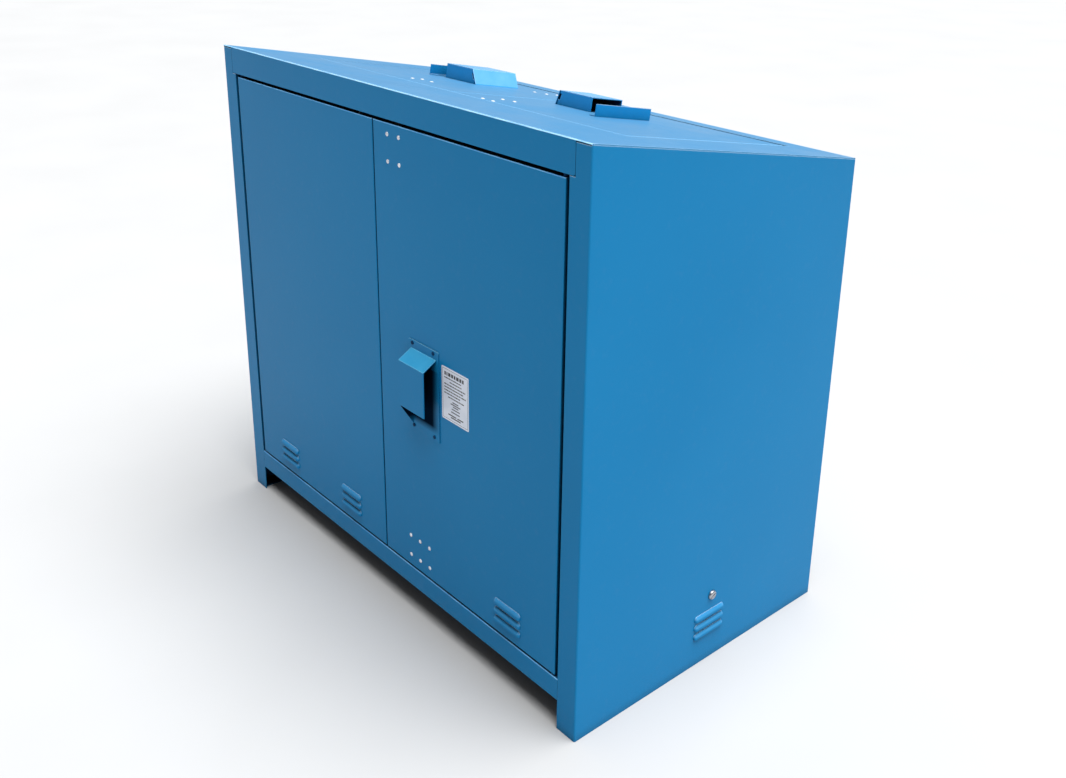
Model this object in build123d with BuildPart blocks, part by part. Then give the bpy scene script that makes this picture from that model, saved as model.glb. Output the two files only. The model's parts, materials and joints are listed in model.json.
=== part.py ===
"""Outdoor battery cabinet: welded sheet-steel box with a roof that falls to the rear,
two front doors, two roof lids with vent hoods, and two tiers of batteries inside.

Millimetres, +Z up. X runs along the width, Y from the front to the rear, and the
origin is on the ground at the middle of the bounding box. Depths called d are
measured from the front face towards the rear.
"""
import math
import os

from build123d import *

os.makedirs("parts", exist_ok=True)

# ---- driving dimensions -------------------------------------------------------------
WIDTH = 1250.0
DEPTH = 725.0
FRONT_HEIGHT = 1150.0
REAR_HEIGHT = 1020.0
SHEET = 2.0
BEND = 1.8                        # outside radius of the folded edges
HOOD_REACH = 33.0                 # how far the lock hood stands out of the front

HALF = WIDTH / 2
FRONT_Y = -(DEPTH - HOOD_REACH) / 2
SLOPE = math.atan2(FRONT_HEIGHT - REAR_HEIGHT, DEPTH)
ROOF_DROP = SHEET / math.cos(SLOPE)   # the roof sheet's thickness, measured vertically

# front frame
STILE_EDGE = 574.5                # inner edge of the stiles, from the centre plane
RAIL_END = 587.0                  # end of the top rail's face, which laps the stiles
TOP_RAIL_Z = 1090.0
BOTTOM_RAIL_Z = 64.0
BOTTOM_RAIL_TOP = 112.0
STOP_DEPTH = 26.0                 # front of the stop flanges that the seals press on
STOP_REACH = 36.0
STOP_TOP_Z = 1055.0
STOP_BOTTOM_Z = 147.0
FOOT_FLANGE = 40.0

# doors
DOOR_EDGE = 565.0
DOOR_GAP = 2.0                    # half of the gap between the two doors
DOOR_BOTTOM = 117.0
DOOR_TOP = 1083.0
DOOR_DEPTH = 22.0
DOOR_RETURN = 30.0
SEAL_INSET = 10.0
SEAL_WIDTH = 14.0
PIVOT_X = 557.0
PIVOT_D = 8.0
PIVOT_R = 4.0
RUNNING = 0.10                    # radial clearance of a turning fit
PRESSED = 0.02                    # radial clearance of a fixed pin

# lock and latch rods
LOCK_X = 150.0
LOCK_Z = 565.0
CRANK = 17.0                      # from the lock's axis to each crank pin
CRANK_X = CRANK * math.cos(math.radians(45))
CRANK_PIN_R = 3.0
ROD_TRAVEL = 2 * CRANK_X
ROD_WIDTH = 20.0
ROD_D = (11.6, 15.6)
ROD_MID = sum(ROD_D) / 2
ROD_OFFSET = 15.5                 # rod's centre line beside the lock's axis
UPPER_ROD_X = 70.5
LOWER_ROD_X = 131.0
ROD_SLOT = (26.0, 9.0)            # across and in depth
BOLT_X = -60.0                    # tower bolts of the left door
BOLT_D = 12.0
BOLT_R = 5.0

# louvres
LOUVRE_RISE = 5.5
LOUVRE_HEIGHT = 11.0
LOUVRE_WALL = 1.5

# roof lids, in the roof's own plane: x, distance s down the slope, height n above it
OPEN_X = 510.0
OPEN_S = (193.0, 667.0)
LID_GAP = 3.0
LID_X = (1.5, 507.0)
LID_S = (196.0, 652.0)
LID_SKIRT = 14.0
HINGE_S = 658.0
HINGE_N = -6.0
HINGE_R = 3.5
HINGE_PIN_R = 1.5
GUTTER_N = -26.0
UPSTAND_N = -8.0
UPSTAND_IN = 22.0                 # upstand's outer face, from the opening's edge

# vent hoods on the lids: x of the slanted and open ends, limits down the slope, height and
# how far the slanted plate leans; then the baffle plates that stand beyond the open ends
VENTS = {
    "left": (-211.0, -330.0, (425.0, 552.0), 34.0, 18.0),
    "right": (72.0, 180.0, (421.0, 511.0), 31.0, 8.0),
}
VENT_PLATE = 2.2                  # slanted plate, measured along x
VENT_PROUD = 1.5                  # how far that plate stands past the cheeks
VENT_SLIT = (11.0, 24.0, 6.0)     # drain slit beside it: limits on the height, and width
BAFFLES = {"left": (-368.0, (406.0, 566.0)), "right": (253.0, (363.0, 523.0))}
BAFFLE_RISE = 25.0
BAFFLE_FOOT = 14.0

# batteries
BATTERY = (520.0, 240.0, 218.0)
BATTERY_X = 282.0
BATTERY_D = (235.0, 495.0)
TIERS = {"lower": 98.0, "upper": 562.0}

ROOF = Plane(
    origin=(0, FRONT_Y, FRONT_HEIGHT),
    x_dir=(1, 0, 0),
    z_dir=(0, math.sin(SLOPE), math.cos(SLOPE)),
)
ROOF_LENGTH = DEPTH / math.cos(SLOPE)


# ---- helpers ------------------------------------------------------------------------
def block(x, d, z, mode=Mode.ADD):
    """Square-cornered solid between two limits on each axis; d is a depth."""
    size = (x[1] - x[0], d[1] - d[0], z[1] - z[0])
    with Locations(((x[0] + x[1]) / 2, FRONT_Y + (d[0] + d[1]) / 2, (z[0] + z[1]) / 2)):
        Box(*size, mode=mode)


def span(side, near, far):
    """Limits on X of something between two distances from the centre plane."""
    return (near, far) if side > 0 else (-far, -near)


def slab(x, s, n, mode=Mode.ADD):
    """Like block, but square to the sloping roof."""
    with BuildSketch(ROOF.offset(n[0])) as outline:
        with Locations(((x[0] + x[1]) / 2, (s[0] + s[1]) / 2)):
            Rectangle(x[1] - x[0], s[1] - s[0])
    extrude(outline.sketch, amount=n[1] - n[0], mode=mode)


def roof_profile(points, s, mode=Mode.ADD):
    """Prism down the slope whose outline is given as (x, height above the roof) points."""
    section = Plane(origin=roof_point(0, s[0]), x_dir=(1, 0, 0), z_dir=-ROOF.y_dir)
    with BuildSketch(section) as outline:
        with BuildLine():
            Polyline(*points, close=True)
        make_face()
    extrude(outline.sketch, amount=s[0] - s[1], mode=mode)


def roof_hole(x, s, n, radius):
    """Round hole square to the roof, between two heights."""
    with BuildSketch(ROOF.offset(n[0])) as disc:
        with Locations((x, s)):
            Circle(radius)
    extrude(disc.sketch, amount=n[1] - n[0], mode=Mode.SUBTRACT)


def depth_profile(points, x, mode=Mode.ADD):
    """Prism along X whose outline is given as (depth, height) points."""
    with BuildSketch(Plane.YZ.offset(x[0])) as outline:
        with BuildLine():
            Polyline(*[(FRONT_Y + d, z) for d, z in points], close=True)
        make_face()
    extrude(outline.sketch, amount=x[1] - x[0], mode=mode)


def roof_z(d, below=0.0):
    """Height of the roof's outer face at a depth, less a vertical drop."""
    return FRONT_HEIGHT - d * math.tan(SLOPE) - below


def roof_point(x, s, n=0.0):
    """Place on the roof, from x, the distance down the slope and the height above it."""
    return ROOF.from_local_coords(Vector(x, s, n))


def along_x(x, s, n, radius, mode=Mode.ADD):
    """Cylinder parallel to X at a place in the roof's plane."""
    with BuildSketch(Plane(origin=roof_point(x[0], s, n), x_dir=(0, 1, 0), z_dir=(1, 0, 0))) as disc:
        Circle(radius)
    extrude(disc.sketch, amount=x[1] - x[0], mode=mode)


def across(limits):
    """Two limits in rising order."""
    return min(limits), max(limits)


def front_round(x, z, d, radius, mode=Mode.ADD):
    """Cylinder along the depth, such as a bolt or its hole."""
    with BuildSketch(Plane(origin=(x, FRONT_Y + d[0], z), x_dir=(1, 0, 0), z_dir=(0, 1, 0))) as disc:
        Circle(radius)
    extrude(disc.sketch, amount=d[1] - d[0], mode=mode)


def upright_round(x, d, z, radius, mode=Mode.ADD):
    """Upright cylinder, such as a pivot pin or its hole."""
    with BuildSketch(Plane.XY.offset(z[0])) as disc:
        with Locations((x, FRONT_Y + d)):
            Circle(radius)
    extrude(disc.sketch, amount=z[1] - z[0], mode=mode)


def louvre_section(plane, shrink, back, low):
    """Outline of a louvre: flat behind, rounded from its top to its front."""
    half = LOUVRE_HEIGHT / 2
    rise = LOUVRE_RISE - shrink
    with BuildSketch(plane) as outline:
        with BuildLine():
            top = Line((back, half - shrink), (0.5, half - shrink))
            bulge = (rise * 0.74, half * 0.42 - shrink * 0.6)
            hood = ThreePointArc(top @ 1, bulge, (rise, -half * 0.6))
            Polyline(hood @ 1, (rise, low), (back, low), top @ 0)
        make_face()
    return outline.sketch


def louvre(centre, outward, length):
    """Pressed louvre in a sheet: a rounded hood with closed round ends, open below."""
    out = Vector(*outward)
    section = Plane(origin=centre, x_dir=out, z_dir=out.cross(Vector(0, 0, 1)))
    straight = length / 2 - LOUVRE_RISE
    low = -LOUVRE_HEIGHT / 2
    extrude(louvre_section(section, 0.0, 0.0, low), amount=straight, both=True)
    for end in (1, -1):
        tip = section.offset(end * straight)
        turn = Axis(tip.origin, (0, 0, -end))
        revolve(louvre_section(tip, 0.0, 0.0, low), axis=turn, revolution_arc=90)
    hollow = louvre_section(section, LOUVRE_WALL, -SHEET, low - 1)
    extrude(hollow, amount=straight, both=True, mode=Mode.SUBTRACT)


def rod_slot(x, z):
    """Opening in a horizontal flange that a flat latch rod passes through."""
    half_x, half_d = ROD_SLOT[0] / 2, ROD_SLOT[1] / 2
    block((x - half_x, x + half_x), (ROD_MID - half_d, ROD_MID + half_d), z, Mode.SUBTRACT)


def save(part, name):
    """Label a finished part and write it to its own file."""
    part.label = name
    export_step(part, f"parts/{name}.step")


# ---- cabinet shell ------------------------------------------------------------------
SIDES = {"left": -1, "right": 1}
SIDE_LOUVRE_Z = (115.0, 94.0, 73.0)
SIDE_LOUVRE_D = 371.0
SIDE_LOUVRE_LENGTH = 88.0
EARTH_D = 376.0
EARTH_Z = 155.0
EARTH_R = 4.0
ANCHOR_X = 603.0
ANCHOR_D = (65.0, 660.0)
ANCHOR_R = 7.0
SIDE_BEND = 3.0

for name, side in SIDES.items():
    with BuildPart() as side_panel:
        top_back = roof_z(DEPTH, ROOF_DROP)
        top_front = roof_z(0, ROOF_DROP)
        wall = [(0, 0), (DEPTH, 0), (DEPTH, top_back), (0, top_front)]
        depth_profile(wall, span(side, HALF - SHEET, HALF))
        block(span(side, STILE_EDGE, HALF), (0, SHEET), (0, TOP_RAIL_Z - 1))
        block(span(side, RAIL_END + 1, HALF), (0, SHEET), (0, top_front - 2))
        block(span(side, STILE_EDGE, STILE_EDGE + SHEET), (SHEET, STOP_DEPTH + SHEET),
              (BOTTOM_RAIL_TOP + 2, TOP_RAIL_Z - 1))
        block(span(side, STILE_EDGE + SHEET - STOP_REACH, STILE_EDGE + SHEET),
              (STOP_DEPTH, STOP_DEPTH + SHEET), (STOP_BOTTOM_Z, STOP_TOP_Z))
        block(span(side, HALF - 35, HALF), (DEPTH - SHEET, DEPTH), (0, roof_z(DEPTH, ROOF_DROP)))
        block(span(side, HALF - SHEET - FOOT_FLANGE, HALF), (SHEET, DEPTH - SHEET), (0, SHEET))
        flange = [(SHEET, roof_z(SHEET, ROOF_DROP)), (DEPTH - 4, roof_z(DEPTH - 4, ROOF_DROP)),
                  (DEPTH - 4, roof_z(DEPTH - 4, 2 * ROOF_DROP)), (SHEET, roof_z(SHEET, 2 * ROOF_DROP))]
        depth_profile(flange, span(side, HALF - 22, HALF - SHEET))
        for d in ANCHOR_D:
            upright_round(side * ANCHOR_X, d, (-1, SHEET + 1), ANCHOR_R, Mode.SUBTRACT)
        uprights = side_panel.edges().filter_by(Axis.Z)
        corners = uprights.filter_by_position(Axis.Y, FRONT_Y - 0.1, FRONT_Y + 0.1)
        fillet(corners.sort_by(Axis.X)[-1 if side > 0 else 0], radius=SIDE_BEND)
        for z in SIDE_LOUVRE_Z:
            louvre((side * HALF, FRONT_Y + SIDE_LOUVRE_D, z), (side, 0, 0), SIDE_LOUVRE_LENGTH)
        if side > 0:
            with BuildSketch(Plane.YZ.offset(HALF - SHEET)):
                with Locations((FRONT_Y + EARTH_D, EARTH_Z)):
                    Circle(EARTH_R + 0.3)
            extrude(amount=SHEET, mode=Mode.SUBTRACT)
    save(side_panel.part, f"side_panel_{name}")

with BuildPart() as back_panel:
    block((-HALF + SHEET, HALF - SHEET), (DEPTH - 2 * SHEET, DEPTH - SHEET),
          (BOTTOM_RAIL_Z, roof_z(DEPTH - 2 * SHEET, 2 * ROOF_DROP) - 1))
    block((-HALF + 24, HALF - 24), (DEPTH - 26, DEPTH - 2 * SHEET), (BOTTOM_RAIL_Z, BOTTOM_RAIL_Z + SHEET))
save(back_panel.part, "back_panel")

RETURN_X = (-STILE_EDGE + 1, STILE_EDGE - 1)
RAIL_CORNER = 5.0
with BuildPart() as roof_panel:
    slab((-HALF, HALF), (0, ROOF_LENGTH), (-SHEET, 0))
    block((-RAIL_END, RAIL_END), (0, SHEET), (TOP_RAIL_Z, roof_z(0, 0.5)))
    crease = roof_panel.edges().filter_by(Axis.X).filter_by_position(Axis.Y, FRONT_Y - 0.1, FRONT_Y + 0.1)
    fillet(crease.sort_by(Axis.Z)[-1], radius=BEND)
    corners = roof_panel.edges().filter_by(Axis.Y)
    fillet(corners.filter_by_position(Axis.Z, TOP_RAIL_Z - 0.1, TOP_RAIL_Z + 0.1), radius=RAIL_CORNER)
    block(RETURN_X, (SHEET, STOP_DEPTH + SHEET), (TOP_RAIL_Z, TOP_RAIL_Z + SHEET))
    block(RETURN_X, (STOP_DEPTH, STOP_DEPTH + SHEET), (STOP_TOP_Z, TOP_RAIL_Z))
    slab((-OPEN_X, OPEN_X), OPEN_S, (-SHEET, 0), Mode.SUBTRACT)
    lip = (TOP_RAIL_Z - 1, TOP_RAIL_Z + SHEET + 1)
    for side in SIDES.values():
        upright_round(side * PIVOT_X, PIVOT_D, lip, PIVOT_R + PRESSED, Mode.SUBTRACT)
    upright_round(BOLT_X, BOLT_D, lip, BOLT_R + 1, Mode.SUBTRACT)
    rod_slot(UPPER_ROD_X, lip)
save(roof_panel.part, "roof_panel")

GUTTER_WEB = (GUTTER_N, -SHEET)
with BuildPart() as roof_gutter:
    slab((-OPEN_X - SHEET, OPEN_X + SHEET), (OPEN_S[0] - SHEET, OPEN_S[1] + SHEET), GUTTER_WEB)
    slab((-OPEN_X, OPEN_X), OPEN_S, (GUTTER_N + SHEET, 0), Mode.SUBTRACT)
    for side in SIDES.values():
        well_x = span(side, UPSTAND_IN - SHEET, OPEN_X - UPSTAND_IN + SHEET)
        well_s = (OPEN_S[0] + UPSTAND_IN - SHEET, OPEN_S[1] - 36 + SHEET)
        slab(well_x, well_s, (GUTTER_N + SHEET, UPSTAND_N))
    for side in SIDES.values():
        hole_x = span(side, UPSTAND_IN, OPEN_X - UPSTAND_IN)
        hole_s = (OPEN_S[0] + UPSTAND_IN, OPEN_S[1] - 36)
        slab(hole_x, hole_s, (GUTTER_N, UPSTAND_N), Mode.SUBTRACT)
save(roof_gutter.part, "roof_gutter")

RAIL_X = (-STILE_EDGE + 0.6, STILE_EDGE - 0.6)
LAP_X = (-STILE_EDGE - 33, STILE_EDGE + 33)      # weld strip behind the stiles
with BuildPart() as bottom_rail:
    block(RAIL_X, (0, SHEET), (BOTTOM_RAIL_Z, BOTTOM_RAIL_TOP))
    block(LAP_X, (SHEET, 2 * SHEET), (BOTTOM_RAIL_Z + 3, BOTTOM_RAIL_TOP - 7))
    block(RAIL_X, (SHEET, STOP_DEPTH + SHEET), (BOTTOM_RAIL_TOP - SHEET, BOTTOM_RAIL_TOP))
    block(RAIL_X, (STOP_DEPTH, STOP_DEPTH + SHEET), (BOTTOM_RAIL_TOP, STOP_BOTTOM_Z))
    block(RAIL_X, (SHEET, STOP_DEPTH + SHEET), (BOTTOM_RAIL_Z, BOTTOM_RAIL_Z + SHEET))
    crease = bottom_rail.edges().filter_by(Axis.X).filter_by_position(Axis.Y, FRONT_Y - 0.1, FRONT_Y + 0.1)
    fillet(crease, radius=BEND)
    lip = (BOTTOM_RAIL_TOP - SHEET - 1, BOTTOM_RAIL_TOP + 1)
    for side in SIDES.values():
        upright_round(side * PIVOT_X, PIVOT_D, lip, PIVOT_R + PRESSED, Mode.SUBTRACT)
    upright_round(BOLT_X, BOLT_D, lip, BOLT_R + 1, Mode.SUBTRACT)
    rod_slot(LOWER_ROD_X, lip)
save(bottom_rail.part, "bottom_front_rail")

GLAND_X = (430.0, 490.0)
GLAND_D = 660.0
GLAND_BORE = 9.0
GLAND_BODY = 12.5
FLOOR_Z = (BOTTOM_RAIL_Z + SHEET, BOTTOM_RAIL_Z + 2 * SHEET)
FLOOR_X = (-HALF + SHEET, HALF - SHEET)
FLOOR_FLANGE_Z = (FLOOR_Z[1], FLOOR_Z[1] + 22)
with BuildPart() as floor_pan:
    block(FLOOR_X, (SHEET * 2 + 1, DEPTH - 2 * SHEET), FLOOR_Z)
    for side in SIDES.values():
        block(span(side, HALF - 2 * SHEET, HALF - SHEET), (30, DEPTH - 2 * SHEET), FLOOR_FLANGE_Z)
    block(FLOOR_X, (DEPTH - 3 * SHEET, DEPTH - 2 * SHEET), FLOOR_FLANGE_Z)
    for x in GLAND_X:
        upright_round(x, GLAND_D, (FLOOR_Z[0] - 1, FLOOR_Z[1] + 1), GLAND_BODY + 0.3, Mode.SUBTRACT)
save(floor_pan.part, "floor_pan")

MULLION_HALF = 32.0
MULLION_D = (STOP_DEPTH, STOP_DEPTH + 30)
MULLION_Z = (STOP_BOTTOM_Z, STOP_TOP_Z)
MULLION_TAB = 25.0                # tabs that run behind the stop flanges above and below
with BuildPart() as mullion:
    block((-MULLION_HALF, MULLION_HALF), (MULLION_D[0], MULLION_D[0] + SHEET), MULLION_Z)
    for side in SIDES.values():
        leg = span(side, MULLION_HALF - SHEET, MULLION_HALF)
        block(leg, (MULLION_D[0] + SHEET, MULLION_D[1]), MULLION_Z)
        for z in (MULLION_Z[0] - MULLION_TAB, MULLION_Z[1]):
            block(leg, (MULLION_D[0] + SHEET, MULLION_D[0] + 16), (z, z + MULLION_TAB))
save(mullion.part, "centre_post")


# ---- doors --------------------------------------------------------------------------
LOUVRE_Z = (188.0, 168.0, 148.0)
LOUVRE_LENGTH = 80.0
DOOR_LOUVRES = {"left": (-425.0, -142.0), "right": (425.0,)}
UPPER_GUIDE = (UPPER_ROD_X, 1034.0)
LOWER_GUIDE = (LOWER_ROD_X, 167.0)
RIVET_R = 2.0
RIVET_HEAD = (4.4, 1.7)           # radius and height of the domed head
RIVET_DOME_R = (RIVET_HEAD[0] ** 2 + RIVET_HEAD[1] ** 2) / (2 * RIVET_HEAD[1])
RIVET_DOME_START = math.degrees(math.asin(1 - RIVET_HEAD[1] / RIVET_DOME_R))
RIVET_GRIP = 2 * SHEET + 1.5
UPPER_RIVETS = (39.0, 54.0, 2, 2)
LOWER_RIVETS = (34.0, 48.0, 3, 2)
HOOD_PLATE_X = (110.0, 210.5)
HOOD_PLATE_Z = (457.0, 657.0)
HOOD_SCREW_X = (123.5, 194.0)
HOOD_SCREW_Z = (467.0, 650.0)
HOOD_SCREW_R = 2.0
LOCK_BODY_R = 10.0
LOCK_PLUG_R = 6.0


def rivet_spots(centre, pattern):
    """Centres of a rectangular group of rivets on the front of the right door."""
    step_x, step_z, count_x, count_z = pattern
    for i in range(count_x):
        for j in range(count_z):
            x = centre[0] + (i - (count_x - 1) / 2) * step_x
            z = centre[1] + (j - (count_z - 1) / 2) * step_z
            yield x, z


DOOR_RIVETS = [*rivet_spots(UPPER_GUIDE, UPPER_RIVETS), *rivet_spots(LOWER_GUIDE, LOWER_RIVETS)]

for name, side in SIDES.items():
    inner, outer = DOOR_GAP, DOOR_EDGE
    with BuildPart() as door:
        block(span(side, inner, outer), (0, DOOR_DEPTH), (DOOR_BOTTOM, DOOR_TOP))
        front_edges = door.faces().sort_by(Axis.Y)[0].edges()
        fillet(front_edges, radius=BEND)
        block(span(side, inner + SHEET, outer - SHEET), (SHEET, DOOR_DEPTH - SHEET),
              (DOOR_BOTTOM + SHEET, DOOR_TOP - SHEET), Mode.SUBTRACT)
        block(span(side, inner + DOOR_RETURN, outer - DOOR_RETURN), (SHEET, DOOR_DEPTH),
              (DOOR_BOTTOM + DOOR_RETURN, DOOR_TOP - DOOR_RETURN), Mode.SUBTRACT)
        for x in DOOR_LOUVRES[name]:
            for z in LOUVRE_Z:
                louvre((x, FRONT_Y, z), (0, -1, 0), LOUVRE_LENGTH)
        for z in ((DOOR_BOTTOM - 1, DOOR_BOTTOM + 3), (DOOR_TOP - 3, DOOR_TOP + 1)):
            upright_round(side * PIVOT_X, PIVOT_D, z, PIVOT_R + 0.5, Mode.SUBTRACT)
            if name == "left":
                upright_round(BOLT_X, BOLT_D, z, BOLT_R + 1, Mode.SUBTRACT)
        if name == "right":
            rod_slot(UPPER_ROD_X, (DOOR_TOP - SHEET - 1, DOOR_TOP + 1))
            rod_slot(LOWER_ROD_X, (DOOR_BOTTOM - 1, DOOR_BOTTOM + SHEET + 1))
            front_round(LOCK_X, LOCK_Z, (-1, SHEET + 1), LOCK_BODY_R + 0.1, Mode.SUBTRACT)
            for x, z in DOOR_RIVETS:
                front_round(x, z, (-1, SHEET + 1), RIVET_R + 0.05, Mode.SUBTRACT)
            for x in HOOD_SCREW_X:
                for z in HOOD_SCREW_Z:
                    front_round(x, z, (-1, SHEET + 1), HOOD_SCREW_R + 0.05, Mode.SUBTRACT)
    save(door.part, f"door_{name}")

    with BuildPart() as seal:
        near, far = inner + SEAL_INSET, outer - SEAL_INSET
        low, high = DOOR_BOTTOM + SEAL_INSET, DOOR_TOP - SEAL_INSET
        block(span(side, near, far), (DOOR_DEPTH, STOP_DEPTH), (low, high))
        block(span(side, near + SEAL_WIDTH, far - SEAL_WIDTH), (DOOR_DEPTH, STOP_DEPTH),
              (low + SEAL_WIDTH, high - SEAL_WIDTH), Mode.SUBTRACT)
    save(seal.part, f"door_seal_{name}")

    with BuildPart() as pivot_blocks:
        for low in (DOOR_BOTTOM + SHEET, DOOR_TOP - SHEET - 20):
            block(span(side, PIVOT_X - 10, DOOR_EDGE - SHEET), (SHEET, 18), (low, low + 20))
            upright_round(side * PIVOT_X, PIVOT_D, (low - 1, low + 21), PIVOT_R + RUNNING, Mode.SUBTRACT)
    save(pivot_blocks.part, f"pivot_blocks_{name}")

PIN_HEAD = 3.0
PIN_GRIP = 19.0                   # how far each pin reaches into its pivot block
UPPER_PIN = (DOOR_TOP - SHEET - PIN_GRIP, TOP_RAIL_Z + SHEET)
LOWER_PIN = (BOTTOM_RAIL_TOP - SHEET, DOOR_BOTTOM + SHEET + PIN_GRIP)
with BuildPart() as pivot_pins:
    for side in SIDES.values():
        for pin_z in (UPPER_PIN, LOWER_PIN):
            upright_round(side * PIVOT_X, PIVOT_D, pin_z, PIVOT_R)
        upright_round(side * PIVOT_X, PIVOT_D, (UPPER_PIN[1], UPPER_PIN[1] + PIN_HEAD), PIVOT_R + 2)
        upright_round(side * PIVOT_X, PIVOT_D, (LOWER_PIN[0] - PIN_HEAD, LOWER_PIN[0]), PIVOT_R + 1.5)
        upright_round(side * PIVOT_X, PIVOT_D, (BOTTOM_RAIL_TOP, DOOR_BOTTOM - 0.1), PIVOT_R + 2)
save(pivot_pins.part, "door_pivot_pins")


# ---- lock, hood and latch rods of the right door -------------------------------------
HOOD_X = (118.0, 202.0)
HOOD_TOP_Z = 638.0
HOOD_FRONT_TOP_Z = 619.5
HOOD_FRONT_LOW_Z = 520.0
HOOD_CHEEK_LOW_Z = 470.0

with BuildPart() as lock_hood:
    block(HOOD_PLATE_X, (-SHEET, 0), HOOD_PLATE_Z)
    fillet(lock_hood.edges().filter_by(Axis.Y), radius=4.0)
    skin = [(-SHEET, HOOD_TOP_Z), (-HOOD_REACH, HOOD_FRONT_TOP_Z), (-HOOD_REACH, HOOD_FRONT_LOW_Z),
            (SHEET - HOOD_REACH, HOOD_FRONT_LOW_Z), (SHEET - HOOD_REACH, HOOD_FRONT_TOP_Z - 1.2),
            (-SHEET, HOOD_TOP_Z - 2.4)]
    depth_profile(skin, HOOD_X)
    cheek = [(-SHEET, HOOD_TOP_Z), (-HOOD_REACH, HOOD_FRONT_TOP_Z), (-HOOD_REACH, HOOD_FRONT_LOW_Z),
             (-SHEET, HOOD_CHEEK_LOW_Z)]
    depth_profile(cheek, (HOOD_X[0], HOOD_X[0] + SHEET))
    front_round(LOCK_X, LOCK_Z, (-SHEET, 0), LOCK_BODY_R + 0.1, Mode.SUBTRACT)
    for x in HOOD_SCREW_X:
        for z in HOOD_SCREW_Z:
            front_round(x, z, (-SHEET, 0), HOOD_SCREW_R + 0.05, Mode.SUBTRACT)
save(lock_hood.part, "lock_hood")

with BuildPart() as hood_screws:
    for x in HOOD_SCREW_X:
        for z in HOOD_SCREW_Z:
            front_round(x, z, (-SHEET - 1.6, -SHEET), HOOD_SCREW_R + 1.8)
            front_round(x, z, (-SHEET, SHEET + 4), HOOD_SCREW_R)
            block((x - 0.5, x + 0.5), (-SHEET - 1.7, -SHEET - 0.8), (z - 4, z + 4), Mode.SUBTRACT)
save(hood_screws.part, "lock_hood_screws")

with BuildPart() as lock_body:
    front_round(LOCK_X, LOCK_Z, (-SHEET - 4, -SHEET), LOCK_BODY_R + 4)
    front_round(LOCK_X, LOCK_Z, (-SHEET, 8), LOCK_BODY_R)
    front_round(LOCK_X, LOCK_Z, (-SHEET - 5, 9), LOCK_PLUG_R + RUNNING, Mode.SUBTRACT)
save(lock_body.part, "lock_body")

with BuildPart() as lock_nut:
    with BuildSketch(Plane(origin=(LOCK_X, FRONT_Y + SHEET, LOCK_Z), x_dir=(1, 0, 0), z_dir=(0, 1, 0))):
        RegularPolygon(radius=13.5, side_count=6, major_radius=False)
        Circle(LOCK_BODY_R + 0.05, mode=Mode.SUBTRACT)
    extrude(amount=4.5)
save(lock_nut.part, "lock_nut")

with BuildPart() as lock_plug:
    front_round(LOCK_X, LOCK_Z, (-SHEET - 7, -SHEET - 4.3), LOCK_PLUG_R + 2.5)
    front_round(LOCK_X, LOCK_Z, (-SHEET - 4.3, 8), LOCK_PLUG_R)
    front_round(LOCK_X, LOCK_Z, (8, 13), 4)
    keyway = ((LOCK_X - 0.9, LOCK_X + 0.9), (-SHEET - 8, -SHEET - 3), (LOCK_Z - 4.5, LOCK_Z + 4.5))
    block(*keyway, Mode.SUBTRACT)
save(lock_plug.part, "lock_plug")

with BuildPart() as lock_cam:
    front_round(LOCK_X, LOCK_Z, (8.3, 11.3), CRANK + 6)
    for turn in (1, -1):
        front_round(LOCK_X - turn * CRANK_X, LOCK_Z - turn * CRANK_X, (11.3, 17), CRANK_PIN_R)
    front_round(LOCK_X, LOCK_Z, (8.3, 11.3), 4.02, Mode.SUBTRACT)
save(lock_cam.part, "lock_cam")

UPPER_ROD_TIP = DOOR_TOP + 1
LOWER_ROD_TIP = DOOR_BOTTOM - 1
UPPER_JOG = (700.0, 790.0)
LOWER_JOG = (500.0, 420.0)


def latch_rod(side, end_x, tip_z, jog):
    """Flat cranked rod from its crank pin beside the lock to a tip above or below the door."""
    start_x = LOCK_X + side * ROD_OFFSET
    half = ROD_WIDTH / 2
    heel_z = LOCK_Z + side * (CRANK_X + 9)
    path = [(start_x, heel_z), (start_x, jog[0]), (end_x, jog[1]), (end_x, tip_z)]
    right = [(x + half, z) for x, z in path]
    left = [(x - half, z) for x, z in reversed(path)]
    plane = Plane(origin=(0, FRONT_Y + ROD_D[0], 0), x_dir=(1, 0, 0), z_dir=(0, -1, 0))
    with BuildSketch(plane) as outline:
        with BuildLine():
            Polyline(*right, *left, close=True)
        make_face()
        with Locations((LOCK_X + side * (CRANK + CRANK_X) / 2, LOCK_Z + side * CRANK_X)):
            SlotOverall(CRANK - CRANK_X + 7.6, 7.6, mode=Mode.SUBTRACT)
    extrude(outline.sketch, amount=-(ROD_D[1] - ROD_D[0]))


with BuildPart() as upper_rod:
    latch_rod(-1, UPPER_ROD_X, UPPER_ROD_TIP, UPPER_JOG)
save(upper_rod.part, "upper_latch_rod")

with BuildPart() as lower_rod:
    latch_rod(1, LOWER_ROD_X, LOWER_ROD_TIP, LOWER_JOG)
save(lower_rod.part, "lower_latch_rod")

BRIDGE = ROD_WIDTH / 2 + 0.8
BRIDGE_D = ROD_D[1] + 0.6
with BuildPart() as rod_guides:
    for (x, z), pattern in ((UPPER_GUIDE, UPPER_RIVETS), (LOWER_GUIDE, LOWER_RIVETS)):
        half_x = pattern[0] * (pattern[2] - 1) / 2 + 8
        half_z = pattern[1] / 2 + 8
        bridge_z = (z - 12, z + 12)
        block((x - half_x, x + half_x), (SHEET, 2 * SHEET), (z - half_z, z + half_z))
        for end in (-1, 1):
            wall = across((x + end * BRIDGE, x + end * (BRIDGE + SHEET)))
            block(wall, (2 * SHEET, BRIDGE_D + SHEET), bridge_z)
        block((x - BRIDGE, x + BRIDGE), (BRIDGE_D, BRIDGE_D + SHEET), bridge_z)
    for x, z in DOOR_RIVETS:
        front_round(x, z, (SHEET, 2 * SHEET), RIVET_R + 0.05, Mode.SUBTRACT)
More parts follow.
